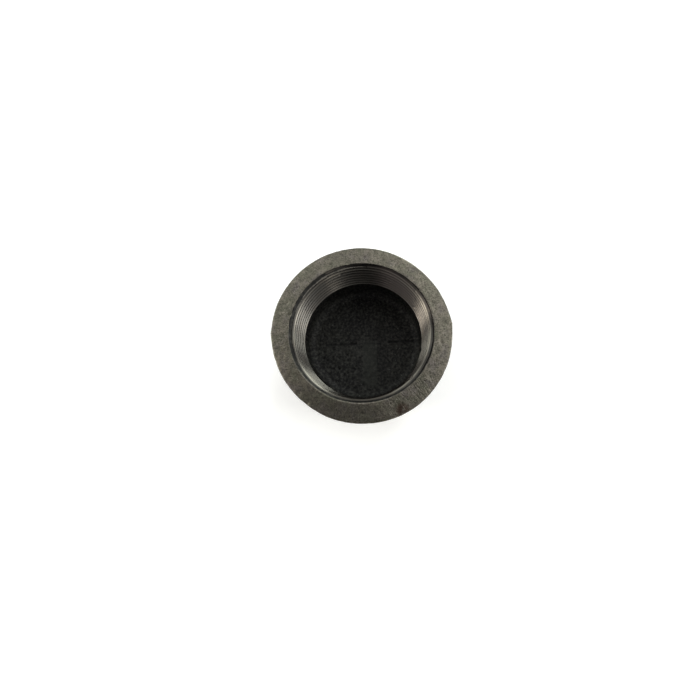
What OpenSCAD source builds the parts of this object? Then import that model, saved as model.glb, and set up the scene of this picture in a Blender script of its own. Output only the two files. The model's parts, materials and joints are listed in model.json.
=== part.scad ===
// Threaded pipe cap, nominal bore 2 inch, in malleable cast iron.
// The cap stands on its closed end with the mouth upwards. The origin is the centre of the closed
// end's flat face, +Z runs along the thread's axis and out of the mouth. Millimetres.

/* [Casting] */
// Overall height, from the flat of the closed end to the mouth's face
height = 36.8; // [35:0.1:42]
// Outside diameter of the band round the mouth
band_d = 75.3; // [74:0.1:80]
// Height of the band
band_h = 11; // [9:0.5:13]
// Rounding of the band's two outside edges
band_edge_r = 0.9; // [0.4:0.1:1.5]
// Outside diameter of the body below the band
body_d = 69.8; // [69:0.1:71]
// Rounding where the body runs out into the band
band_fillet_r = 1.8; // [1:0.1:1.8]
// Rounding round the closed end
end_corner_r = 9; // [7:0.5:12]
// Thickness of the end wall
end_wall = 5; // [4:0.1:6]

/* [Inside] */
// Diameter of the unthreaded chamber behind the thread
chamber_d = 61; // [60.3:0.1:61.8]
// Rounding between the chamber's wall and its floor
floor_corner_r = 4.6; // [3:0.1:6]
// Thickness of the black skin that lines the chamber
skin_t = 0.2; // [0.1:0.05:0.4]

/* [Thread] */
// Pitch of the thread: 11 turns to the inch
pitch = 2.309; // [2.2:0.001:2.4]
// Minor diameter, at the crests
minor_d = 56.656; // [56.4:0.001:57]
// Major diameter, at the roots
major_d = 59.614; // [59.4:0.001:59.8]
// Number of grooves that stand in for the thread's turns
turns = 7; // [5:1:7]
// Diameter of the mouth's edge, where the countersink starts
mouth_d = 60; // [59.8:0.1:61]

/* [Hidden] */

$fn = 96;
eps = 0.01;

band_r = band_d / 2;
body_r = body_d / 2;
chamber_r = chamber_d / 2;
minor_r = minor_d / 2;
major_r = major_d / 2;
mouth_r = mouth_d / 2;

// The thread form is the 55 degree one. Its crests are left flat for a sixth of the pitch.
crest_w = pitch / 6;
groove_w = pitch - crest_w;
// A root is rounded off by two short slopes that meet at the major diameter.
root_half_w = 0.137 * pitch;
root_rise = 0.035 * pitch;

// The countersink is cut at 45 degrees, down to the first crest.
countersink_h = mouth_r - minor_r;
thread_top = height - countersink_h;
thread_len = turns * pitch + crest_w;
thread_end = thread_top - thread_len;

// A 45 degree shoulder widens the last crest out to the chamber.
shoulder_h = chamber_r - minor_r;
shoulder_end = thread_end - shoulder_h;
// The skin starts this far out along the shoulder, so that it stays clear of the thread.
skin_start_r = minor_r + 0.35;
skin_start_z = thread_end - (skin_start_r - minor_r);
// How far the cut along that edge reaches to both sides
edge_reach = 2;

// Everything inside the band's and the body's outline, from the axis outwards
module outside_2d() {
    // Body, down to the rounding of the closed end
    translate([0, end_corner_r]) square([body_r, height - band_edge_r - end_corner_r]);
    square([body_r - end_corner_r, end_corner_r + eps]);
    translate([body_r - end_corner_r, end_corner_r]) end_corner_2d();
    band_2d();
    band_fillet_2d();
}

// The quarter disc that rounds the closed end
module end_corner_2d() {
    intersection() {
        circle(r = end_corner_r);
        translate([0, -end_corner_r]) square([end_corner_r, end_corner_r + eps]);
    }
}

// The band, with both of its outside edges rounded
module band_2d() {
    inset_r = band_r - band_edge_r;
    translate([0, height - band_h]) square([inset_r, band_h]);
    translate([0, height - band_h + band_edge_r]) square([band_r, band_h - 2 * band_edge_r]);
    translate([inset_r, height - band_edge_r]) circle(r = band_edge_r);
    translate([inset_r, height - band_h + band_edge_r]) circle(r = band_edge_r);
}

// The hollow rounding under the band
module band_fillet_2d() {
    translate([body_r, height - band_h - band_fillet_r]) difference() {
        translate([-eps, 0]) square([band_fillet_r + eps, band_fillet_r + eps]);
        translate([band_fillet_r, 0]) circle(r = band_fillet_r);
    }
}

// The bored mouth: countersink, and the straight bore at the crests' radius
module bore_2d() {
    translate([0, thread_end - eps]) square([minor_r, thread_len + 2 * eps]);
    polygon([
        [0, thread_top],
        [minor_r, thread_top],
        [mouth_r, height],
        [mouth_r + eps, height + eps],
        [0, height + eps]
    ]);
}

// One thread groove, centred at z = 0, with its rounded root
module groove_2d() {
    polygon([
        [minor_r - eps, -groove_w / 2],
        [minor_r, -groove_w / 2],
        [major_r - root_rise, -root_half_w],
        [major_r, 0],
        [major_r - root_rise, root_half_w],
        [minor_r, groove_w / 2],
        [minor_r - eps, groove_w / 2]
    ]);
}

// All the grooves, from the countersink down
module grooves_2d() {
    for (turn = [0:turns - 1])
        translate([0, thread_top - crest_w - groove_w / 2 - turn * pitch]) groove_2d();
}

// The chamber behind the thread, made smaller all round by the given inset
module chamber_2d(inset = 0) {
    wall_r = chamber_r - inset;
    floor_z = end_wall + inset;
    corner_r = floor_corner_r - inset;
    corner_x = chamber_r - floor_corner_r;
    corner_z = end_wall + floor_corner_r;
    // A 45 degree slope moves down by the inset times the square root of two.
    slope_drop = inset * sqrt(2);
    translate([0, floor_z]) square([corner_x, corner_z - floor_z + eps]);
    translate([corner_x, corner_z]) circle(r = corner_r);
    polygon([
        [0, corner_z],
        [wall_r, corner_z],
        [wall_r, shoulder_end + inset - slope_drop],
        [minor_r, thread_end - slope_drop],
        [0, thread_end - slope_drop]
    ]);
}

// Everything that the casting's inside leaves open
module cavity_2d() {
    bore_2d();
    grooves_2d();
    chamber_2d();
}

// What the skin leaves bare: all that is nearer to the thread than its edge, which is cut square
// to the shoulder's slope
module bare_top_2d() {
    polygon([
        [skin_start_r + edge_reach, skin_start_z + edge_reach],
        [skin_start_r - edge_reach, skin_start_z - edge_reach],
        [0, skin_start_z - edge_reach],
        [0, skin_start_z + edge_reach]
    ]);
}

module cap_casting() {
    color([0.36, 0.35, 0.32]) rotate_extrude() difference() {
        outside_2d();
        cavity_2d();
    }
}

module inner_black_skin() {
    color([0.07, 0.07, 0.07]) rotate_extrude() difference() {
        chamber_2d();
        chamber_2d(skin_t);
        bare_top_2d();
    }
}

cap_casting();
inner_black_skin();
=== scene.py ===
"""Looks for a 2 inch malleable iron pipe cap: the casting with its cut thread, and its black skin.

Shapes are worked out in millimetres, on the CAD's own axis, and turned into metres where a mesh is
made. A profile is a list of points (r, z) that is turned round the axis, one column for each angle.
"""

import json
import math

import bpy
import numpy as np
from mathutils import Matrix, Vector, noise


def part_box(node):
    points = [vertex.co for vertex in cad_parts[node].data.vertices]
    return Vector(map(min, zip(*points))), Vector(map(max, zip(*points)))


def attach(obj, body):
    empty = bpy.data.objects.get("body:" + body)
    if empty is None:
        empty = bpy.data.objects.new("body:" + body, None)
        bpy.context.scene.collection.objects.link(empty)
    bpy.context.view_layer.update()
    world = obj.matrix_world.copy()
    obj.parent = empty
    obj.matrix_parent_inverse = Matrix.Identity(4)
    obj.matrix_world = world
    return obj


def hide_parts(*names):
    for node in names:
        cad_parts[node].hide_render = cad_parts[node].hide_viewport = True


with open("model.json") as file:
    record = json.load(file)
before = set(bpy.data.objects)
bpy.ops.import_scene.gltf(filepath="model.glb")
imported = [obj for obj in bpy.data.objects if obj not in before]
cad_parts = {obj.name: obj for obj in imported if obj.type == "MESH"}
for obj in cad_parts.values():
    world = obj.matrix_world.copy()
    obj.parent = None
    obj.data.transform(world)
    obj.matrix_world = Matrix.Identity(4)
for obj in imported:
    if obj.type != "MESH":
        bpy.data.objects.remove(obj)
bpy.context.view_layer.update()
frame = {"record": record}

MM = 0.001  # one millimetre, in metres
FULL_TURN = 2 * math.pi

# ---------------------------------------------------------------- sizes, in millimetres
casting_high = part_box("cap_casting")[1] / MM
skin_low, skin_high = (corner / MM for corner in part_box("inner_black_skin"))
thread = next(m for m in frame["record"]["mounts"] if m["name"] == "pipe_thread")

HEIGHT = casting_high.z
BAND_R = casting_high.x
CHAMBER_R = skin_high.x
END_WALL = skin_low.z
MINOR_R = thread["dims"]["r_mm"]
THREAD_LEN = thread["dims"]["length_mm"]

BAND_H = 11.0
BAND_EDGE_R = 0.9  # rounding of the band's edges
BAND_FILLET_R = 1.8  # hollow rounding under the band
BODY_R = 34.9
END_CORNER_R = 9.0  # rounding of the closed end
FLOOR_CORNER_R = 4.6  # rounding between the chamber's wall and its floor
MOUTH_R = 30.0  # where the countersink meets the mouth's face
PITCH = 2.309

# The 55 degree thread form, with crests and roots rounded alike. FLANK is half a groove's width over
# its depth, and SHARP_H is the height that the form would have with sharp corners.
HALF_ANGLE = math.radians(27.5)
FLANK = math.tan(HALF_ANGLE)
SHARP_H = PITCH / 2 / FLANK
ROUND_R = 0.137329 * PITCH
ROUND_W = ROUND_R * math.cos(HALF_ANGLE)
THREAD_DEPTH = SHARP_H * 2 / 3
THREAD_END = HEIGHT - (MOUTH_R - MINOR_R) - THREAD_LEN
# Where the crest passes the mouth: at this angle it stands FIRST_CREST below the face.
START_ANGLE = math.radians(120)
FIRST_CREST = 1.3


# ---------------------------------------------------------------- noise on arrays of points
def sample(points, scale, octaves=1, seed=0.0):
    """Smooth noise from about -1 to 1, with lumps about scale across. Each seed has its own."""
    shift = Vector((seed * 17.3, seed * -9.1, seed * 5.7))
    flat = points.reshape(-1, 3) / scale
    if octaves == 1:
        values = [noise.noise(Vector(p) + shift) for p in flat]
    else:
        values = [noise.fractal(Vector(p) + shift, 1.0, 2.0, octaves) for p in flat]
    return np.array(values).reshape(points.shape[:-1])


PIT_REACH = 0.42  # a pit's radius, as a share of the cells' size
CELL_SPREAD = 7.31  # sets neighbouring cells far apart, so that each gets its own random number


def pits(points, scale, share, seed=0.0):
    """From 0 to 1: round pits about scale apart, on about that share of the cells."""
    shift = Vector((seed * 11.9, seed * 3.3, seed * -7.7))
    out = []
    for p in points.reshape(-1, 3) / scale:
        distances, centres = noise.voronoi(Vector(p) + shift)
        chosen = noise.cell(centres[0] * CELL_SPREAD) * 0.5 + 0.5
        deep = max(0.0, 1.0 - distances[0] / PIT_REACH) if chosen < share else 0.0
        out.append(deep * deep * (3 - 2 * deep))
    return np.array(out).reshape(points.shape[:-1])


def smooth_step(low, high, x):
    """0 at low, 1 at high and a soft change between. low may be the larger one."""
    t = np.clip((x - low) / (high - low), 0, 1)
    return t * t * (3 - 2 * t)


# ---------------------------------------------------------------- profiles and rings
def around(radius, z, angles):
    """Points on one ring or more: radius and z may be numbers, or arrays that fit the angles."""
    radius, z, angles = np.broadcast_arrays(radius, z, angles)
    return np.stack([radius * np.cos(angles), radius * np.sin(angles), z], axis=-1)


def rings(profile, angles):
    """A profile's points or normals turned round the axis: one ring for each of them."""
    radius, z = np.hsplit(profile, 2)
    return around(radius, z, angles)


def angle_from(target, angles):
    """How far each angle lies from target, from -pi to pi."""
    return (angles - target + math.pi) % FULL_TURN - math.pi


def arc(centre, radius, start, end, steps):
    """Points (r, z) on an arc, from start to end in degrees, without the first one."""
    turns = np.radians(np.linspace(start, end, steps + 1))[1:]
    return [(centre[0] + radius * math.cos(t), centre[1] + radius * math.sin(t)) for t in turns]


def line(start, end, steps):
    """Points (r, z) from start to end, without the first one."""
    return [
        (start[0] + (end[0] - start[0]) * k / steps, start[1] + (end[1] - start[1]) * k / steps)
        for k in range(1, steps + 1)
    ]


def profile_normals(profile):
    """Unit normals (r, z) to the right of the way that a profile runs, which is out of the iron."""
    along = np.gradient(profile, axis=0)
    normals = np.stack([along[:, 1], -along[:, 0]], axis=1)
    return normals / np.linalg.norm(normals, axis=1, keepdims=True)


# ---------------------------------------------------------------- building meshes
class Surface:
    """Collects points and faces of one mesh, with a material number for each face."""

    def __init__(self):
        self.points = []
        self.faces = []
        self.materials = []
        self.notes = {}
        self.count = 0

    def add(self, points):
        """Adds an array of points and returns their numbers, in the array's shape."""
        flat = points.reshape(-1, 3)
        first = self.count
        self.points.append(flat)
        self.count += len(flat)
        return np.arange(first, self.count).reshape(points.shape[:-1])

    def note(self, numbers, key, values):
        """Remembers a value for each of these points, to become the mesh's attribute key."""
        self.notes.setdefault(key, []).append((numbers, values))

    def face(self, corners, material):
        """Adds one face, leaving out corners that repeat. Fewer than three different ones make none."""
        kept = []
        for c in corners:
            if not kept or c != kept[-1]:
                kept.append(int(c))
        if len(kept) > 1 and kept[0] == kept[-1]:
            kept.pop()
        if len(kept) > 2:
            self.faces.append(kept)
            self.materials.append(material)

    def strip(self, ring_a, ring_b, material):
        """Faces between two rings of point numbers."""
        n = len(ring_a)
        for i in range(n):
            j = (i + 1) % n
            self.face((ring_a[i], ring_a[j], ring_b[j], ring_b[i]), material)

    def close(self, ring, tip, material, flip=False):
        """Faces from a ring of point numbers to one point, which is added."""
        tip_number = self.add(np.array([tip]))[0]
        for i, number in enumerate(ring):
            following = ring[(i + 1) % len(ring)]
            first, second = (following, number) if flip else (number, following)
            self.face((first, second, tip_number), material)

    def build(self, name, materials):
        mesh = bpy.data.meshes.new(name)
        points = np.concatenate(self.points) * MM
        mesh.from_pydata([tuple(p) for p in points], [], self.faces)
        for m in materials:
            mesh.materials.append(m)
        mesh.polygons.foreach_set("material_index", self.materials)
        mesh.polygons.foreach_set("use_smooth", [True] * len(mesh.polygons))
        for key, notes in self.notes.items():
            values = np.zeros(self.count, np.float32)
            for numbers, some in notes:
                values[numbers] = some
            layer = mesh.attributes.new(key, "FLOAT", "POINT")
            layer.data.foreach_set("value", values)
        mesh.validate()
        mesh.update()
        piece = bpy.data.objects.new(name, mesh)
        bpy.context.scene.collection.objects.link(piece)
        return piece


# ---------------------------------------------------------------- the casting's outside
COLUMNS = 384  # round the casting, apart from the closer ones at the seam
SEAM_COLUMNS = (0.4, 0.8, 1.2, 1.8)  # how far these lie from the seam, to both sides
TIP_R = 1.5  # of the innermost ring on the closed end and on the chamber's floor
EDGE_OUT, EDGE_DOWN = 0.15, 0.05  # the mouth's edge is worn off by this, outwards and down

SEAM = math.radians(2.5)  # the mould's parting plane, which holds the cap's axis
SEAM_RIDGE = 0.16  # height of the ridge along it
SEAM_RIDGE_W = 0.45  # half width of that ridge
# How far the rough surface stays inside the CAD's outline, on average
SHELL_SLACK = 0.3
FACE_SLACK = 0.1
BOX_SLACK = 0.012  # how far the outside stays inside the CAD's box, everywhere

FLAT_WAY = math.radians(45)  # the outside is narrowest this way, where it is a little flat too
OUT_OF_ROUND = 0.35  # how much nearer to the axis that makes it, and further off across
FLATS = 0.35  # how deep the two flats are
OUT_OF_TRUE = 0.25  # how far the outside sits off the thread's axis, towards -X
# The two halves of the mould don't quite meet, which leaves a blunt corner on each side of the
# casting: its angle, its half width in radians and its height.
CORNERS = [(SEAM, 0.24, 0.45), (SEAM + math.pi, 0.14, 0.25)]


def spread_columns():
    """Angles of the casting's columns: even ones, and closer ones on both sides of the seam."""
    near = np.array(SEAM_COLUMNS) / BAND_R
    sides = [SEAM + side + sign * near for side in (0, math.pi) for sign in (-1, 1)]
    even = np.arange(COLUMNS) * FULL_TURN / COLUMNS + SEAM
    return np.sort(np.concatenate([even, *sides]) % FULL_TURN)


def outside_profile():
    """Points (r, z) of the outside, from the middle of the closed end to the mouth's edge."""
    under_band = HEIGHT - BAND_H
    fillet_z = under_band - BAND_FILLET_R
    flat_r = BODY_R - END_CORNER_R
    edge_r = BAND_R - BAND_EDGE_R
    points = [(TIP_R, 0.0)] + line((TIP_R, 0.0), (flat_r, 0.0), 14)
    points += arc((flat_r, END_CORNER_R), END_CORNER_R, -90, 0, 14)
    points += line((BODY_R, END_CORNER_R), (BODY_R, fillet_z), 18)
    points += arc((BODY_R + BAND_FILLET_R, fillet_z), BAND_FILLET_R, 180, 92, 6)
    points += arc((edge_r, under_band + BAND_EDGE_R), BAND_EDGE_R, -80, 0, 5)
    points += line((BAND_R, under_band + BAND_EDGE_R), (BAND_R, HEIGHT - BAND_EDGE_R), 14)
    points += arc((edge_r, HEIGHT - BAND_EDGE_R), BAND_EDGE_R, 0, 90, 6)
    points += line((edge_r, HEIGHT), (MOUTH_R + EDGE_OUT, HEIGHT), 17)
    return np.array(points)


def seam_distance(points):
    """How far each point lies from the mould's parting plane, with a sign."""
    return points[..., 1] * math.cos(SEAM) - points[..., 0] * math.sin(SEAM)


def cast_depth(points, face):
    """How far the as-cast surface lies inside the true outline. face is 1 on the mouth's face."""
    lumps = 0.11 * sample(points, 13, seed=1) + 0.06 * sample(points, 4.2, seed=2)
    grain = 0.05 * sample(points, 1.7, octaves=3, seed=3)
    holes = 0.22 * pits(points, 2.6, 0.22, seed=4)
    ridge_height = SEAM_RIDGE + 0.10 * sample(points, 2.5, seed=5)
    ridge = ridge_height * np.exp(-((seam_distance(points) / SEAM_RIDGE_W) ** 2))
    side = SHELL_SLACK + lumps - ridge
    flat = FACE_SLACK + 0.5 * lumps
    return flat * face + side * (1 - face) + grain + holes


def out_of_round(angles):
    """How much further out the cast outline lies at each angle than a true circle."""
    flat_way = angles - FLAT_WAY
    outline = -OUT_OF_ROUND * np.cos(2 * flat_way) - FLATS * np.cos(flat_way) ** 8
    for place, half_width, height in CORNERS:
        away = np.abs(angle_from(place, angles)) / half_width
        outline += height * np.clip(1 - away, 0, 1) ** 1.5
    return outline


def rough_outside(angles):
    """Rings of points of the rough outside, from the closed end to the mouth's edge."""
    profile = outside_profile()
    normals = profile_normals(profile)
    points = rings(profile, angles)
    up, high = normals[:, 1], profile[:, 1]
    face = np.where(high > HEIGHT - BAND_EDGE_R, np.clip(up, 0, 1) ** 2, 0)[:, None]
    end = np.where(high < END_CORNER_R, np.clip(-up, 0, 1) ** 8, 0)[:, None]
    depth = cast_depth(points, face)
    # The closed end is worn level where it stands: only what lies deeper than that stays rough.
    depth = depth * (1 - end) + np.clip(0.6 * depth - 0.14, 0, 1) * end
    points = points - rings(normals, angles) * depth[..., None]
    # The outside was cast a little off the axis that the thread was later cut on. The mouth's face
    # takes up the difference between its two edges.
    radius = np.hypot(points[..., 0], points[..., 1])
    on_face = smooth_step(MOUTH_R + 0.5, BAND_R - 1, radius)
    near_face = points[..., 2] > HEIGHT - 1.5
    share = np.where(near_face, on_face, np.minimum(1, radius / BODY_R))
    points[..., :2] *= (1 + out_of_round(angles) * share / radius)[..., None]
    points[..., 0] -= OUT_OF_TRUE * share
    points[..., :2] = np.clip(points[..., :2], BOX_SLACK - BAND_R, BAND_R - BOX_SLACK)
    points[..., 2] = np.clip(points[..., 2], 0, HEIGHT)
    return points


# ---------------------------------------------------------------- the casting's thread
# The mouth was ground a little oval: this much wider along MOUTH_WAY, and narrower across.
MOUTH_OVAL = 0.3
MOUTH_WAY = math.radians(-18)
# Places within one pitch, from a crest down to the next
SECTION = PITCH * np.array(
    [0, 0.055, 0.115, 0.24, 0.385, 0.445, 0.5, 0.555, 0.615, 0.76, 0.885, 0.945]
)
BELOW_ROOT = 0.15  # how far the lower ring lies below the place where the last root runs out
LOW_Z = THREAD_END - THREAD_DEPTH - BELOW_ROOT
TOUCH = 0.03  # rows closer than this to the ring above or below the thread are joined to it
CONE_SHINE = 0.35  # what the countersink has for the attribute crest


def oval_mouth(angles):
    """The countersink's radius at the mouth's face, all round."""
    return MOUTH_R + MOUTH_OVAL * np.cos(2 * (angles - MOUTH_WAY))


def groove_depth(down):
    """The thread's depth at a place within one pitch."""
    off_crest = np.minimum(down, PITCH - down)
    off_root = PITCH / 2 - off_crest
    flank = off_crest / FLANK - SHARP_H / 6
    crest = ROUND_R - np.sqrt(np.maximum(ROUND_R**2 - off_crest**2, 0))
    root = THREAD_DEPTH - ROUND_R + np.sqrt(np.maximum(ROUND_R**2 - off_root**2, 0))
    return np.where(off_crest < ROUND_W, crest, np.where(off_root < ROUND_W, root, flank))


def thread_rows(angles):
    """Rows along the helix, from above the mouth to below LOW_Z, each a pitch higher at the last
    column than at the first. Returns their points, which of these lie on the countersink, and from
    0 to 1 how near each one is to a crest."""
    start_z = HEIGHT - FIRST_CREST - PITCH * START_ANGLE / FULL_TURN + 2 * PITCH
    pitches = math.ceil((start_z + PITCH - LOW_Z) / PITCH) + 1
    offset = np.concatenate([SECTION + k * PITCH for k in range(pitches)])[:, None]
    groove = np.tile(groove_depth(SECTION), pitches)[:, None]
    z = start_z - offset + PITCH * angles / FULL_TURN
    points = around(MINOR_R, z, angles)
    # Tool marks along the turns, and a few chipped crests
    worn = 0.012 * sample(points, 3.0, seed=11)
    chips = 0.2 * smooth_step(0.45, 0.8, sample(points, 2.3, seed=12)) * (groove < 0.3)
    radius = MINOR_R + groove + worn + chips
    mouth_cone = oval_mouth(angles) - (HEIGHT - z) + 0.03 * sample(points, 2.0, seed=13)
    end_cone = MINOR_R + (THREAD_END - z)
    on_cone = mouth_cone > radius
    radius = np.maximum(np.maximum(radius, mouth_cone), end_cone)
    crest = np.where(on_cone, CONE_SHINE, 1 - groove / THREAD_DEPTH)
    return around(radius, z, angles), on_cone, crest


def add_thread(surface, angles, mouth_z, cone_material, thread_material):
    """The helical thread with its countersink. Returns the mouth's and the lower ring's numbers."""
    points, on_cone, crest = thread_rows(angles)
    mouth = surface.add(around(oval_mouth(angles) - (HEIGHT - mouth_z), mouth_z, angles))
    lower = surface.add(around(MINOR_R + THREAD_END - LOW_Z, LOW_Z, angles))
    above = points[..., 2] > mouth_z - TOUCH
    below = points[..., 2] < LOW_Z + TOUCH
    own = ~(above | below)
    number = np.where(above, mouth, np.where(below, lower, -1))
    number[own] = surface.add(points[own])
    surface.note(number[own], "crest", crest[own])

    # One more column: the first one again, a pitch higher.
    higher = np.full(len(number), mouth[0])
    higher[len(SECTION) :] = number[: -len(SECTION), 0]
    number = np.column_stack([number, higher])
    on_cone = np.column_stack([on_cone, on_cone[:, 0]])
    for m in range(len(number) - 1):
        for i in range(len(angles)):
            corners = (number[m, i], number[m, i + 1], number[m + 1, i + 1], number[m + 1, i])
            cone_corners = on_cone[m : m + 2, i : i + 2].sum()
            surface.face(corners, cone_material if cone_corners >= 3 else thread_material)
    return mouth, lower


# ---------------------------------------------------------------- the whole casting
CAST, CUT, BEVEL = 0, 1, 2  # places in the casting's list of materials


def chamber_profile(inset):
    """Points (r, z) of the chamber's wall and corner, from the shoulder to the flat floor."""
    wall_r = CHAMBER_R - inset
    corner_r = FLOOR_CORNER_R - inset
    corner = (CHAMBER_R - FLOOR_CORNER_R, END_WALL + FLOOR_CORNER_R)
    # With its 45 degree slope inset too, the shoulder meets the wall 0.41 times the inset lower.
    top = (wall_r, THREAD_END - (CHAMBER_R - MINOR_R) - 0.41 * inset)
    return [top] + line(top, (wall_r, corner[1]), 12) + arc(corner, corner_r, 0, -90, 12)


def make_casting(materials):
    angles = spread_columns()
    surface = Surface()
    outside = rough_outside(angles)
    numbers = surface.add(outside)
    for low_ring, high_ring in zip(numbers[:-1], numbers[1:]):
        surface.strip(low_ring, high_ring, CAST)
    surface.close(numbers[0], (0.0, 0.0, outside[0, :, 2].mean()), CAST, flip=True)

    mouth_z = outside[-1, :, 2] - EDGE_DOWN
    mouth, ring = add_thread(surface, angles, mouth_z, BEVEL, CUT)
    surface.strip(numbers[-1], mouth, CAST)

    wall = chamber_profile(0)
    floor_z = wall[-1][1]
    profile = np.array(wall + line(wall[-1], (TIP_R, floor_z), 6))
    for below in surface.add(rings(profile, angles)):
        surface.strip(ring, below, CAST)
        ring = below
    surface.close(ring, (0.0, 0.0, floor_z), CAST)
    return surface.build("cap_body", materials)


# ---------------------------------------------------------------- the black skin inside
SKIN_COLUMNS = 300
SKIN_GAP = 0.02  # between the skin's back and the iron
SKIN_RELIEF = 0.55  # how far its face stands off the iron, on average
SKIN_RANGE = (0.06, 1.3)  # the least and the most that it stands off
SKIN_EDGE = 0.12  # how far along its upper edge
SKIN_TIP_R = 0.4  # of the innermost ring on the floor
STEP_X = 6.8  # a low step in the floor runs along this line, up to STEP_TOP, and then off at a slant
STEP_TOP = 7.4
STEP_H = 0.22
DEEP_PIT = 0.75  # depth of the pits in DEEP_PITS, which gives their x, y and radius
DEEP_PITS = [
    (-5.7, -14.2, 1.1),
    (-13.8, -14.1, 1.0),
    (-9.6, -6.6, 0.9),
    (-20.5, -9.5, 0.8),
    (13.5, -10.5, 0.8),
]


def floor_pits(points, on_floor):
    """How deep the pits are: small ones everywhere, deeper at the lower left, and DEEP_PITS."""
    x, y = points[..., 0], points[..., 1]
    small_pit = 0.35 + 0.3 * smooth_step(2.0, -12.0, x + 0.5 * y)
    holes = pits(points, 2.1, 0.35, seed=24) * small_pit
    for pit_x, pit_y, pit_r in DEEP_PITS:
        away = np.hypot(x - pit_x, y - pit_y) + 0.4 * sample(points, 1.0, seed=27)
        holes = np.maximum(holes, DEEP_PIT * on_floor * smooth_step(pit_r, 0.3 * pit_r, away))
    return holes


def core_joint(points):
    """The core that shaped the chamber was made in halves: their joint is a fine broken groove."""
    x = points[..., 0]
    left = smooth_step(-3, -7, x) * smooth_step(-24, -20, x)
    clear = 0.9 * smooth_step(11, 15, x) + 0.6 * left + 0.15
    wander = seam_distance(points) + 0.25 + 0.25 * sample(points, 4, seed=28)
    joint = np.exp(-((wander / (0.4 + 0.15 * smooth_step(12, 22, x))) ** 2)) * clear
    return joint * np.clip(0.8 + 1.6 * sample(points, 2.4, seed=25), 0, 1.3)


def floor_relief(points):
    """How far the skin's face stands off the iron, and from 0 to 1 how smooth and how dark it is."""
    x, y, z = points[..., 0], points[..., 1], points[..., 2]
    on_floor = smooth_step(END_WALL + 3.0, END_WALL + 0.6, z)
    # To the left of the step the floor is a little higher, with a smoother stretch beside the step.
    left = smooth_step(STEP_X + 0.25, STEP_X - 0.05, x + 0.25 * sample(points, 5, seed=21))
    low_half = smooth_step(STEP_TOP + 1.0, STEP_TOP - 3.0, y)
    beside = smooth_step(-2.5, 0.5, x) * left * smooth_step(2.0, -2.0, y) * smooth_step(-26, -21, y)
    smooth = beside * on_floor
    rough = 1 - 0.55 * beside * on_floor
    lumps = 0.17 * sample(points, 3.1, seed=22) + 0.15 * sample(points, 1.25, octaves=2, seed=23)
    holes = floor_pits(points, on_floor)
    joint = core_joint(points)
    # Where the step turns off at a slant it is only a crack.
    slant = ((x - STEP_X) - (y - STEP_TOP)) / math.sqrt(2)
    upper = smooth_step(STEP_TOP - 2, STEP_TOP + 1, y)
    crack = np.exp(-((slant / 0.25) ** 2)) * upper * 0.25
    swell = 0.25 * sample(points, 17, seed=26)
    relief = SKIN_RELIEF + lumps * rough - holes * rough - 0.45 * joint
    relief += on_floor * (STEP_H * left * low_half - crack + swell)
    # Painted shade lies along the step, on its low side.
    step_shade = smooth_step(STEP_X - 0.2, STEP_X + 0.4, x) * smooth_step(17, 9, x)
    step_shade *= smooth_step(-24, -12, y) * smooth_step(18, 8, y)
    dark = np.maximum(np.maximum(holes, 1.2 * joint), 0.27 * step_shade * on_floor)
    return np.clip(relief, *SKIN_RANGE), smooth, dark


def make_skin(material):
    angles = np.arange(SKIN_COLUMNS) * FULL_TURN / SKIN_COLUMNS
    surface = Surface()
    wall = chamber_profile(SKIN_GAP)
    profile = np.array(wall + line(wall[-1], (SKIN_TIP_R, wall[-1][1]), 62))
    back = rings(profile, angles)
    relief, smooth, dark = floor_relief(back)
    relief[0] = SKIN_EDGE
    front = back + rings(profile_normals(profile), angles) * relief[..., None]
    numbers = surface.add(front)
    surface.note(numbers, "smooth", smooth)
    surface.note(numbers, "dark", dark)
    for upper, lower in zip(numbers[:-1], numbers[1:]):
        surface.strip(upper, lower, 0)
    surface.close(numbers[-1], front[-1].mean(axis=0), 0)

    # The back follows the iron, and its flat floor needs no rings but the outer and the inner one.
    rear = surface.add(back[[*range(len(wall)), -1]])
    surface.strip(rear[0], numbers[0], 0)
    for upper, lower in zip(rear[:-1], rear[1:]):
        surface.strip(lower, upper, 0)
    surface.close(rear[-1], back[-1].mean(axis=0), 0, flip=True)
    return surface.build("inner_skin", [material])


# ---------------------------------------------------------------- node trees
class Graph:
    """A node tree, with short names for the nodes used here. A source is a socket or a value."""

    def __init__(self, tree):
        self.tree = tree

    def node(self, kind, **settings):
        node = self.tree.nodes.new(kind)
        for name, value in settings.items():
            setattr(node, name, value)
        return node

    def link(self, source, socket):
        if isinstance(source, bpy.types.NodeSocket):
            self.tree.links.new(source, socket)
        else:
            socket.default_value = source

    def fill(self, node, sources):
        """Links the node's first inputs to these sources."""
        for socket, source in zip(node.inputs, sources):
            self.link(source, socket)

    def vector(self, operation, *sources):
        node = self.node("ShaderNodeVectorMath", operation=operation)
        self.fill(node, sources)
        return node.outputs["Value" if operation in ("DISTANCE", "DOT_PRODUCT") else "Vector"]

    def math(self, operation, a, b=0.0):
        node = self.node("ShaderNodeMath", operation=operation)
        self.fill(node, (a, b))
        return node.outputs[0]

    def remap(self, value, low, high, to_low=0.0, to_high=1.0, smooth=False):
        kind = "SMOOTHSTEP" if smooth else "LINEAR"
        node = self.node("ShaderNodeMapRange", interpolation_type=kind)
        self.fill(node, (value, low, high, to_low, to_high))
        return node.outputs[0]

    def parts(self, vector):
        """The X, Y and Z of a vector."""
        node = self.node("ShaderNodeSeparateXYZ")
        self.link(vector, node.inputs[0])
        return node.outputs

    def mix(self, share, a, b):
        """A colour between a and b."""
        node = self.node("ShaderNodeMix", data_type="RGBA")
        sockets = [s for s in node.inputs if s.type == "RGBA"]
        self.link(share, node.inputs[0])
        for socket, source in zip(sockets, (a, b)):
            self.link((*source, 1) if isinstance(source, tuple) else source, socket)
        return next(s for s in node.outputs if s.type == "RGBA")


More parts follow.
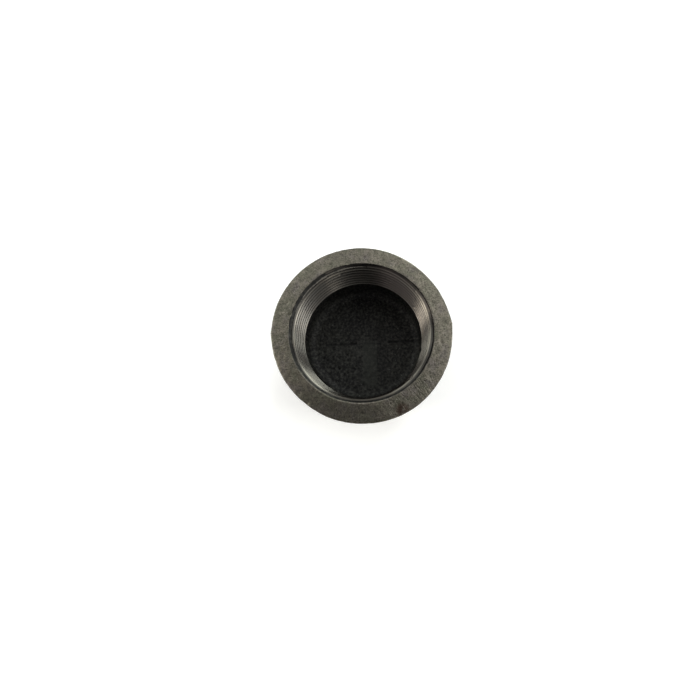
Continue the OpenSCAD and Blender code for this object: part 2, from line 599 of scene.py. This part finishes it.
class Material(Graph):
    """A material's node tree. Lengths are in millimetres, and noise goes from 0 to 1."""

    def __init__(self, name):
        self.material = bpy.data.materials.new(name)
        self.material.use_nodes = True
        super().__init__(self.material.node_tree)
        self.shader = self.tree.nodes["Principled BSDF"]
        metres = self.node("ShaderNodeTexCoord").outputs["Object"]
        self.place = self.vector("MULTIPLY", metres, (1 / MM, 1 / MM, 1 / MM))
        self.x, self.y, self.z = self.parts(self.place)

    def spot(self, centre, inner, outer):
        """1 within inner of a point (x, y) on the mouth's face, and 0 beyond outer."""
        away = self.vector("DISTANCE", self.place, (*centre, HEIGHT))
        return self.remap(away, inner, outer, 1.0, 0.0, smooth=True)

    def texture(self, kind, size, shift, stretch=(1, 1, 1), turn=0):
        """A texture node with its lumps or cells about size across. The shift picks another part of
        it. stretch makes it longer along X, Y or Z, and turn turns those about Z first, in degrees."""
        place = self.place
        if turn:
            turned = self.node("ShaderNodeVectorRotate", rotation_type="Z_AXIS")
            self.link(place, turned.inputs["Vector"])
            turned.inputs["Angle"].default_value = -math.radians(turn)
            place = turned.outputs[0]
        scaled = self.vector("MULTIPLY", place, tuple(1 / (size * s) for s in stretch))
        node = self.node(kind)
        self.link(self.vector("ADD", scaled, shift), node.inputs["Vector"])
        node.inputs["Scale"].default_value = 1.0
        return node

    def noise(self, size, detail=2.0, roughness=0.5, stretch=(1, 1, 1), shift=0.0, turn=0):
        node = self.texture("ShaderNodeTexNoise", size, (shift, -shift, shift), stretch, turn)
        node.inputs["Detail"].default_value = detail
        node.inputs["Roughness"].default_value = roughness
        return node.outputs[0]

    def cells(self, size, shift=0.0):
        """The distance to the nearest cell's middle, and the cell's random colour."""
        node = self.texture("ShaderNodeTexVoronoi", size, (shift, shift, -shift))
        return node.outputs["Distance"], node.outputs["Color"]

    def attribute(self, name):
        return self.node("ShaderNodeAttribute", attribute_name=name).outputs["Fac"]

    def bump(self, height, depth):
        """A normal from a height between 0 and 1, which stands for depth millimetres."""
        node = self.node("ShaderNodeBump")
        node.inputs["Distance"].default_value = depth * MM
        self.link(height, node.inputs["Height"])
        return node.outputs[0]

    def finish(self, **inputs):
        """Sets the shader's sockets, named in lower case with underscores."""
        for name, source in inputs.items():
            socket = self.shader.inputs[name.replace("_", " ").title().replace("Ior", "IOR")]
            self.link((*source, 1) if isinstance(source, tuple) else source, socket)
        return self.material


# ---------------------------------------------------------------- materials
DARK_IRON = (0.028, 0.026, 0.022)
BROWN_STAIN = (0.030, 0.016, 0.011)
RUST = (0.060, 0.036, 0.024)
BLACK = (0.002, 0.002, 0.002)

# Places on the mouth's face (x, y)
SCORED = [((19.0, -28.0), 17, -55), ((-32.0, -14.0), 19, -25)]  # with reach, and direction in degrees
RING = (29.6, -14.9)
STAIN = (16.2, -31.9)
PORES = [(25.0, -21.5), (17.2, 31.0), (-19.2, 34.1)]

FIRST_GROOVE_SHADE_REACH = 2.6  # how far below the mouth's face the first groove's painted shade reaches, at least


def blasted_colour(g, mottle, grain):
    """Grey iron with a warm tint: broad, middling and fine patches, one over another."""
    broad = g.noise(9, detail=3, shift=3)
    tint = g.noise(5, detail=3, shift=21)
    base = g.mix(g.remap(broad, 0.3, 0.7), (0.100, 0.095, 0.074), (0.132, 0.119, 0.096))
    base = g.mix(g.remap(tint, 0.52, 0.66, 0.0, 0.4), base, (0.102, 0.106, 0.074))
    base = g.mix(g.remap(tint, 0.34, 0.48, 0.6, 0.0), base, (0.118, 0.104, 0.100))
    base = g.mix(g.remap(mottle, 0.30, 0.50, 0.6, 0.0), base, (0.060, 0.058, 0.046))
    base = g.mix(g.remap(mottle, 0.52, 0.72, 0.0, 0.6), base, (0.190, 0.172, 0.140))
    base = g.mix(g.remap(grain, 0.36, 0.50, 0.75, 0.0), base, (0.040, 0.038, 0.032))
    return g.mix(g.remap(grain, 0.56, 0.70, 0.0, 0.5), base, (0.23, 0.214, 0.183))


def as_cast_iron():
    """Rough grey iron, blasted, with darker pores and a little brown."""
    g = Material("as_cast_iron")
    mottle = g.noise(2.0, detail=4, roughness=0.6, shift=7)
    grain = g.noise(0.55, detail=3, roughness=0.65, shift=1)
    base = blasted_colour(g, mottle, grain)
    height = g.math("ADD", g.math("MULTIPLY", mottle, 0.6), g.math("MULTIPLY", grain, 0.4))
    # Two stretches of the mouth's face are scored, each in its own direction.
    for centre, reach, turn in SCORED:
        scores = g.noise(0.42, detail=2, stretch=(5, 1, 1), shift=turn, turn=turn)
        here = g.spot(centre, 0.4 * reach, reach)
        shade = g.math("MULTIPLY", g.remap(scores, 0.54, 0.66), g.math("MULTIPLY", here, 0.35))
        base = g.mix(shade, base, DARK_IRON)
        cut = g.math("MULTIPLY", g.remap(scores, 0.5, 0.7, 0.0, 0.35), here)
        height = g.math("SUBTRACT", height, cut)
    # A small ring left by a blow, worn faint, and a few dark pores.
    outside_dent = g.math("SUBTRACT", 1.0, g.spot(RING, 0.45, 0.8))
    ring = g.math("MULTIPLY", g.spot(RING, 0.9, 1.25), outside_dent)
    dents = g.math("MULTIPLY", ring, g.remap(mottle, 0.35, 0.6, 0.0, 0.5))
    for pore in PORES:
        dents = g.math("MAXIMUM", dents, g.spot(pore, 0.1, 0.5))
    base = g.mix(g.math("MULTIPLY", dents, 0.6), base, DARK_IRON)
    height = g.math("SUBTRACT", height, dents)
    stain = g.math("MULTIPLY", g.spot(STAIN, 1.2, 3.6), g.remap(mottle, 0.75, 0.5))
    base = g.mix(g.math("MULTIPLY", stain, 0.85), base, BROWN_STAIN)
    rust = g.remap(g.noise(6, detail=5, roughness=0.7, shift=12), 0.66, 0.74)
    base = g.mix(g.math("MULTIPLY", rust, 0.5), base, RUST)
    rough = g.remap(mottle, 0.3, 0.7, 0.40, 0.28)
    return g.finish(base_color=base, metallic=0.95, roughness=rough, normal=g.bump(height, 0.14))


def first_groove_shade(g, crest):
    """Painted shade in the first groove, down to the next crest."""
    depth = g.math("SUBTRACT", HEIGHT, g.z)
    past_start = g.math("SUBTRACT", g.math("ARCTAN2", g.y, g.x), START_ANGLE)
    past_start = g.math("FLOORED_MODULO", past_start, FULL_TURN)
    next_crest = g.remap(past_start, 0, FULL_TURN, FIRST_CREST + PITCH, FIRST_CREST)
    above_crest = g.math("SUBTRACT", g.math("MAXIMUM", next_crest, FIRST_GROOVE_SHADE_REACH), depth)
    groove_shade = g.remap(above_crest, 0.0, 0.5, 0.0, 0.8)
    return g.math("MULTIPLY", groove_shade, g.remap(crest, 0.5, 0.9, 1.0, 0.0))


def cut_iron():
    """Bright iron cut by a threading tool, with marks along the turns, and roots darkened by oil and
    painted shade.
    """
    g = Material("cut_thread")
    crest = g.attribute("crest")
    streaks = g.noise(0.16, detail=3, roughness=0.6, stretch=(50, 50, 1), shift=2)
    patches = g.noise(3.5, detail=3, shift=9)
    # Lighter on the crests and darker in the roots: partly oil and wear, partly painted light and
    # shade.
    fresh = g.mix(g.remap(crest, 0.1, 0.9), (0.070, 0.067, 0.062), (0.090, 0.085, 0.076))
    # On the +X side: painted shade and dirt in the roots, painted highlights and rubbing on the crests.
    worn = g.mix(g.remap(crest, 0.2, 0.8), (0.026, 0.024, 0.023), (0.104, 0.094, 0.083))
    base = g.mix(g.remap(g.x, -6, 8), fresh, worn)
    # Painted shade darkens the first groove.
    base = g.mix(first_groove_shade(g, crest), base, (0.015, 0.014, 0.013))
    # The first full crest is painted lighter.
    near_mouth = g.remap(g.z, HEIGHT - 5.2, HEIGHT - 4.2)
    lighter_crest = g.math("MULTIPLY", near_mouth, g.remap(crest, 0.5, 0.95, 0.0, 0.6))
    base = g.mix(lighter_crest, base, (0.20, 0.185, 0.155))
    base = g.mix(g.remap(streaks, 0.35, 0.65, 0.3, 0.0), base, (0.06, 0.057, 0.050))
    base = g.mix(g.remap(patches, 0.5, 0.75, 0.0, 0.35), base, (0.09, 0.075, 0.06))
    rough = g.remap(streaks, 0.3, 0.7, 0.28, 0.16)
    return g.finish(base_color=base, metallic=0.95, roughness=rough, normal=g.bump(streaks, 0.02))


def bevel_iron():
    """The countersink: its outer part is painted dark, and the tool has cut the rest."""
    g = Material("countersink")
    marks = g.noise(0.3, detail=3, stretch=(12, 12, 1), shift=5)
    patches = g.noise(1.6, detail=3, roughness=0.6, shift=4)
    share = g.remap(patches, 0.35, 0.65)
    skin = g.mix(g.remap(patches, 0.45, 0.72), (0.012, 0.012, 0.011), (0.040, 0.038, 0.033))
    # Shaded and lit copies of the cut iron, darker towards -Y and lighter towards +Y: painted light and
    # shade.
    shaded_cut = g.mix(share, (0.036, 0.034, 0.030), (0.074, 0.070, 0.061))
    bright = g.mix(share, (0.11, 0.103, 0.090), (0.21, 0.196, 0.170))
    cut = g.mix(g.remap(g.y, -16, 2), shaded_cut, bright)
    # The dark part reaches deeper on the -X side.
    height = g.math("ADD", g.z, g.remap(marks, 0.3, 0.7, -0.12, 0.12))
    height = g.math("SUBTRACT", height, g.remap(g.x, -MOUTH_R, MOUTH_R, -0.45, 0.15))
    base = g.mix(g.remap(height, HEIGHT - 0.95, HEIGHT - 0.7), cut, skin)
    rough = g.remap(marks, 0.3, 0.7, 0.5, 0.36)
    return g.finish(base_color=base, metallic=0.7, roughness=rough, normal=g.bump(marks, 0.04))


def black_skin():
    """Black scale and varnish on rough-cast iron, with painted glints: tiny specks painted light."""
    g = Material("black_skin")
    smooth = g.attribute("smooth")
    dark = g.attribute("dark")
    grain = g.noise(1.3, detail=4, roughness=0.6, shift=6)
    fine = g.noise(0.4, detail=3, roughness=0.7, shift=8)
    broad = g.noise(14, detail=2, shift=14)
    base = g.mix(g.remap(broad, 0.35, 0.65), (0.0085, 0.0085, 0.0085), (0.0140, 0.0145, 0.0120))
    # The scale's own tone, painted lighter on the grain's lumps and black between them: painted light
    # and shade.
    base = g.mix(g.remap(grain, 0.50, 0.66, 0.0, 0.9), base, (0.036, 0.036, 0.031))
    base = g.mix(g.remap(fine, 0.54, 0.68, 0.0, 0.45), base, (0.060, 0.061, 0.054))
    base = g.mix(g.remap(grain, 0.38, 0.50, 0.9, 0.0), base, BLACK)
    # The smooth stretch beside the step is painted lighter: painted light.
    base = g.mix(g.math("MULTIPLY", smooth, 0.55), base, (0.0225, 0.0245, 0.0200))
    # Painted glints: tiny specks painted light.
    distance, colour = g.cells(0.8, shift=3)
    painted_glint = g.math("MULTIPLY", g.remap(colour, 0.84, 0.90), g.remap(distance, 0.15, 0.45, 1.0, 0.0))
    base = g.mix(g.math("MULTIPLY", painted_glint, 0.6), base, (0.11, 0.112, 0.105))
    # Black in the pits and along the core's joint, and painted shade beside the step.
    base = g.mix(g.remap(dark, 0.1, 0.5, 0.0, 0.8), base, BLACK)
    height = g.math("ADD", g.math("MULTIPLY", grain, 0.7), g.math("MULTIPLY", fine, 0.3))
    height = g.math("MULTIPLY", height, g.remap(smooth, 0.0, 1.0, 1.0, 0.5))
    return g.finish(
        base_color=base,
        metallic=0.15,
        roughness=g.remap(grain, 0.3, 0.7, 0.72, 0.5),
        specular_ior_level=0.25,
        normal=g.bump(height, 0.40),
    )


# ---------------------------------------------------------------- the pieces
SHARP_EDGE = math.radians(48)  # edges that turn more than this are shaded as edges

casting = make_casting([as_cast_iron(), cut_iron(), bevel_iron()])
casting.data.set_sharp_from_angle(angle=SHARP_EDGE)
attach(casting, "root")
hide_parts("cap_casting")

skin = make_skin(black_skin())
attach(skin, "root")
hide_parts("inner_black_skin")


# ---------------------------------------------------------------- floor
FLOOR_GLOW = 0.2  # the floor is a light table, which lifts the shadows
FLOOR_DROP = 0.05  # just clear of the face that the cap stands on
FLOOR_REACH = 40 * BAND_R


def floor_material():
    g = Material("floor")
    g.shader.inputs["Emission Color"].default_value = (1, 1, 1, 1)
    tint = g.mix(g.noise(120, detail=2), (0.90, 0.90, 0.89), (0.93, 0.93, 0.92))
    return g.finish(
        base_color=tint, roughness=0.8, specular_ior_level=0.2, emission_strength=FLOOR_GLOW
    )


def make_floor():
    surface = Surface()
    signs = np.array([(-1, -1), (1, -1), (1, 1), (-1, 1)])
    corners = np.column_stack([signs * FLOOR_REACH, np.full(4, -FLOOR_DROP)])
    surface.face(surface.add(corners), 0)
    surface.build("floor", [floor_material()])


# ---------------------------------------------------------------- light
# Soft light from all round, full within CAP_FULL of the zenith and dimmer beyond CAP_EDGE, where
# only the share HORIZON is left. Angles are in degrees, and azimuth 0 is +X and 90 is +Y. The camera
# itself sees a plain backdrop.
SKY = 1.45
HORIZON = 0.35
CAP_EDGE, CAP_FULL = 65, 32
BACKDROP = (1.0, 1.0, 1.0)
# Where the camera and whoever holds it stand: azimuth, elevation, edge, full part, light left
DARK_PATCHES = [
    (-130, 68, 40, 21, 0.04),
    (-110, 36, 40, 22, 0.5),
    (-48, 58, 24, 10, 0.35),
    (170, 68, 17, 8, 0.5),
]
WARM, WHITE, COOL, MAUVE = (1.0, 0.95, 0.86), (1.0, 1.0, 0.97), (0.94, 1.0, 0.95), (1.0, 0.92, 0.96)
STRIP_SOFT = 7  # how soft the strips' bottom and top are, to both sides
# Strips of soft boxes: azimuth, bottom, top, edge, full part, brightness, tint
STRIPS = [
    (4, 26, 56, 13, 8, 4.4, WHITE),
    (27, 26, 54, 8, 4, 2.8, COOL),
    (63, 14, 45, 12, 8, 6.0, COOL),
    (124, 20, 45, 14, 4, 2.2, COOL),
    (153, 10, 52, 12, 4, 2.2, COOL),
    (182, 10, 57, 9, 5, 5.4, WARM),
    (-54, 30, 62, 6, 2, 2.0, WARM),
    (-138, 30, 66, 26, 10, 0.5, MAUVE),
]


def sine(degrees):
    return math.sin(math.radians(degrees))


def cosine(degrees):
    return math.cos(math.radians(degrees))


def heading(azimuth, elevation):
    """A unit vector that points that way."""
    level = cosine(elevation)
    return (cosine(azimuth) * level, sine(azimuth) * level, sine(elevation))


def make_sky():
    world = bpy.data.worlds.new("studio")
    bpy.context.scene.world = world
    world.use_nodes = True
    g = Graph(world.node_tree)
    toward = g.node("ShaderNodeTexCoord").outputs["Generated"]

    def patch(azimuth, elevation, edge, full, outside, inside):
        """outside beyond the patch's edge, and inside in its full part, with a soft change between."""
        near = g.vector("DOT_PRODUCT", toward, heading(azimuth, elevation))
        return g.remap(near, cosine(edge), cosine(full), outside, inside, smooth=True)

    plain = g.math("MULTIPLY", patch(0, 90, CAP_EDGE, CAP_FULL, HORIZON, 1.0), SKY)
    for azimuth, elevation, edge, full, left in DARK_PATCHES:
        plain = g.math("MULTIPLY", plain, patch(azimuth, elevation, edge, full, 1.0, left))
    light = g.vector("MULTIPLY", (1, 1, 1), plain)

    x, y, z = g.parts(toward)
    level = g.math("SQRT", g.math("ADD", g.math("MULTIPLY", x, x), g.math("MULTIPLY", y, y)))

    def rise(elevation, at_low, at_high):
        low, high = sine(elevation - STRIP_SOFT), sine(elevation + STRIP_SOFT)
        return g.remap(z, low, high, at_low, at_high, smooth=True)

    for azimuth, bottom, top, edge, full, bright, tint in STRIPS:
        ahead_x = g.math("MULTIPLY", x, cosine(azimuth))
        ahead_y = g.math("MULTIPLY", y, sine(azimuth))
        ahead = g.math("DIVIDE", g.math("ADD", ahead_x, ahead_y), level)
        across = g.remap(ahead, cosine(edge), cosine(full), 0.0, bright, smooth=True)
        upright = g.math("MULTIPLY", rise(bottom, 0.0, 1.0), rise(top, 1.0, 0.0))
        light = g.vector("MULTIPLY_ADD", tint, g.math("MULTIPLY", across, upright), light)
    seen = g.node("ShaderNodeLightPath").outputs["Is Camera Ray"]
    g.link(g.mix(seen, light, BACKDROP), world.node_tree.nodes["Background"].inputs["Color"])


# ---------------------------------------------------------------- camera
# A close camera, above the mouth and off to one side of the axis, in millimetres. It looks down by
# AIM_DOWN degrees and towards AIM_AZIMUTH, and +Y is up in the picture.
SENSOR = 36.0
LENS = 11.26
CAMERA_PLACE = (6.53, -23.69, HEIGHT + 86.58)
AIM_AZIMUTH, AIM_DOWN = 102.68, 77.33
SHIFT_X, SHIFT_Y = -0.0226, -0.0155


def make_camera():
    data = bpy.data.cameras.new("camera")
    data.lens = LENS
    data.sensor_width = SENSOR
    data.shift_x, data.shift_y = SHIFT_X, SHIFT_Y
    data.clip_start = 1 * MM
    camera = bpy.data.objects.new("camera", data)
    camera.location = Vector(CAMERA_PLACE) * MM
    aim = Vector(heading(AIM_AZIMUTH, -AIM_DOWN))
    right = aim.cross(Vector((0, 1, 0))).normalized()
    up = right.cross(aim)
    camera.rotation_euler = Matrix((right, up, -aim)).transposed().to_euler()
    bpy.context.scene.collection.objects.link(camera)
    bpy.context.scene.camera = camera


make_floor()
make_sky()
make_camera()
bpy.context.scene.view_settings.view_transform = "Standard"
